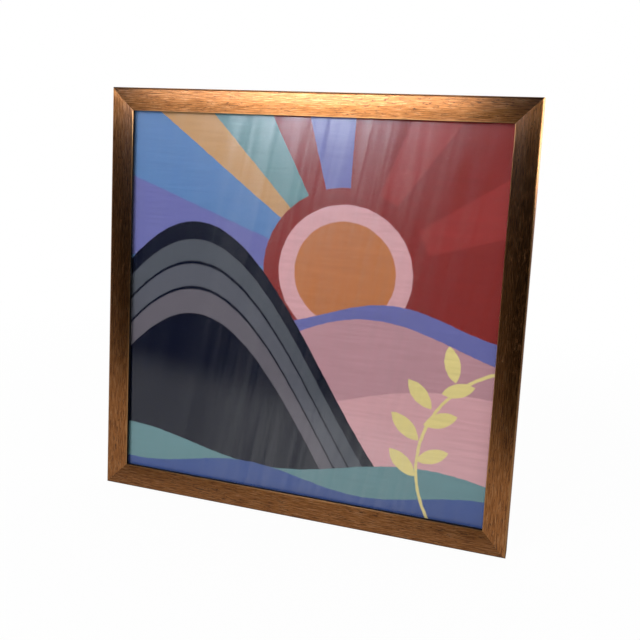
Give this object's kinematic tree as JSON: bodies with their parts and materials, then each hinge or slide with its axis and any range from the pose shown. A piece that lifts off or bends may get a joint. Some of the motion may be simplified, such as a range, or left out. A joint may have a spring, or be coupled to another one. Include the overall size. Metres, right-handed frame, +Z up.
{
  "type": "vinyl record frame",
  "caption": "Square wall frame for a record sleeve: mitred moulding with a soft ridge, clear sheet, print, filler, backing with turn buttons and a ring hanger.",
  "frame": {"origin": "middle of the bottom of the whole object's box: the frame stands on its bottom edge", "axes": "+Z up, +Y out of the back towards the wall, the face looks along -Y, +X to the viewer's right"},
  "size_m": [0.33, 0.0202, 0.33],
  "materials": {
    "antique_gold_moulding": "satin",
    "clear_acrylic": "gloss",
    "printed_paper": "matte",
    "corrugated_board": "matte",
    "hardboard": "matte",
    "black_zinc": "satin",
    "bright_zinc": "satin",
    "nail_steel": "satin"
  },
  "bodies": {
    "frame": {"top_rail": "antique_gold_moulding", "bottom_rail": "antique_gold_moulding", "left_stile": "antique_gold_moulding", "right_stile": "antique_gold_moulding", "v_nail_top_left": "nail_steel", "v_nail_top_right": "nail_steel", "v_nail_bottom_left": "nail_steel", "v_nail_bottom_right": "nail_steel", "glazing_sheet": "clear_acrylic", "insert_print": "printed_paper", "filler_board": "corrugated_board", "backing_board": "hardboard", "turn_button_screw_top_left": "bright_zinc", "turn_button_screw_top_right": "bright_zinc", "turn_button_screw_bottom_left": "bright_zinc", "turn_button_screw_bottom_right": "bright_zinc", "turn_button_screw_left_upper": "bright_zinc", "turn_button_screw_left_lower": "bright_zinc", "turn_button_screw_right_upper": "bright_zinc", "turn_button_screw_right_lower": "bright_zinc", "hanger_strap": "bright_zinc", "hanger_rivet_upper": "bright_zinc", "hanger_rivet_lower": "bright_zinc"},
    "button_top_left": {"turn_button_top_left": "black_zinc"},
    "button_top_right": {"turn_button_top_right": "black_zinc"},
    "button_bottom_left": {"turn_button_bottom_left": "black_zinc"},
    "button_bottom_right": {"turn_button_bottom_right": "black_zinc"},
    "button_left_upper": {"turn_button_left_upper": "black_zinc"},
    "button_left_lower": {"turn_button_left_lower": "black_zinc"},
    "button_right_upper": {"turn_button_right_upper": "black_zinc"},
    "button_right_lower": {"turn_button_right_lower": "black_zinc"},
    "ring": {"hanger_ring": "bright_zinc"}
  },
  "joints": [
    {"name": "turn_top_left", "type": "hinge", "parent": "frame", "child": "button_top_left", "pos_m": [-0.0825, 0.00664, 0.3265], "axis": [0, 1, 0], "continuous": true},
    {"name": "turn_top_right", "type": "hinge", "parent": "frame", "child": "button_top_right", "pos_m": [0.0825, 0.00664, 0.3265], "axis": [0, 1, 0], "continuous": true},
    {"name": "turn_bottom_left", "type": "hinge", "parent": "frame", "child": "button_bottom_left", "pos_m": [-0.0825, 0.00664, 0.0035], "axis": [0, 1, 0], "continuous": true},
    {"name": "turn_bottom_right", "type": "hinge", "parent": "frame", "child": "button_bottom_right", "pos_m": [0.0825, 0.00664, 0.0035], "axis": [0, 1, 0], "continuous": true},
    {"name": "turn_left_upper", "type": "hinge", "parent": "frame", "child": "button_left_upper", "pos_m": [-0.1615, 0.00664, 0.2475], "axis": [0, 1, 0], "continuous": true},
    {"name": "turn_left_lower", "type": "hinge", "parent": "frame", "child": "button_left_lower", "pos_m": [-0.1615, 0.00664, 0.0825], "axis": [0, 1, 0], "continuous": true},
    {"name": "turn_right_upper", "type": "hinge", "parent": "frame", "child": "button_right_upper", "pos_m": [0.1615, 0.00664, 0.2475], "axis": [0, 1, 0], "continuous": true},
    {"name": "turn_right_lower", "type": "hinge", "parent": "frame", "child": "button_right_lower", "pos_m": [0.1615, 0.00664, 0.0825], "axis": [0, 1, 0], "continuous": true},
    {"name": "ring_swing", "type": "hinge", "parent": "frame", "child": "ring", "pos_m": [0, 0.00799, 0.298], "axis": [1, 0, 0], "range_deg": [0, 180]}
  ]
}
